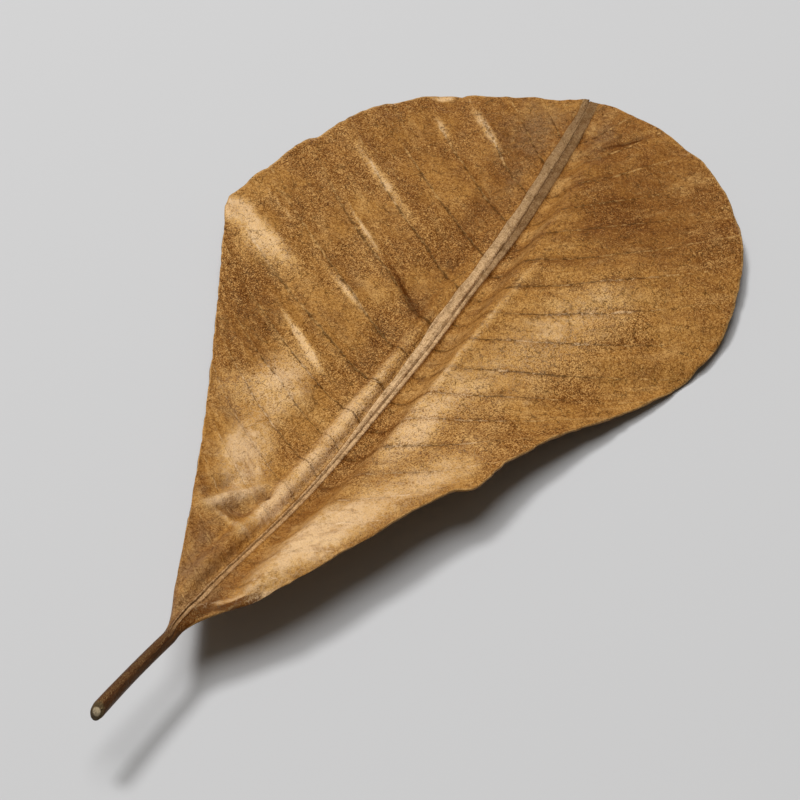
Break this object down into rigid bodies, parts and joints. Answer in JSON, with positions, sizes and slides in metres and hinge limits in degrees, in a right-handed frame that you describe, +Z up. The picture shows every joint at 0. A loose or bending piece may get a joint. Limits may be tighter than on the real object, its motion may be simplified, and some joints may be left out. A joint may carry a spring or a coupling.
{
  "type": "magnolia leaf",
  "caption": "Dry fallen magnolia leaf, broad at the tip and wedge-shaped at its short stalk, lying with its base lifted, raised midrib and side veins on both faces.",
  "frame": {"origin": "under the middle of the leaf's box, on the surface that the leaf rests on", "axes": "+X from the stalk to the tip, +Y to the left half seen from above, +Z up"},
  "size_m": [0.2217, 0.1195, 0.0148],
  "materials": {
    "dry_leaf": "dry leathery leaf, mottled ochre and umber brown, satin with a fine grain"
  },
  "bodies": {
    "root": {"leaf": "dry_leaf"}
  },
  "joints": []
}
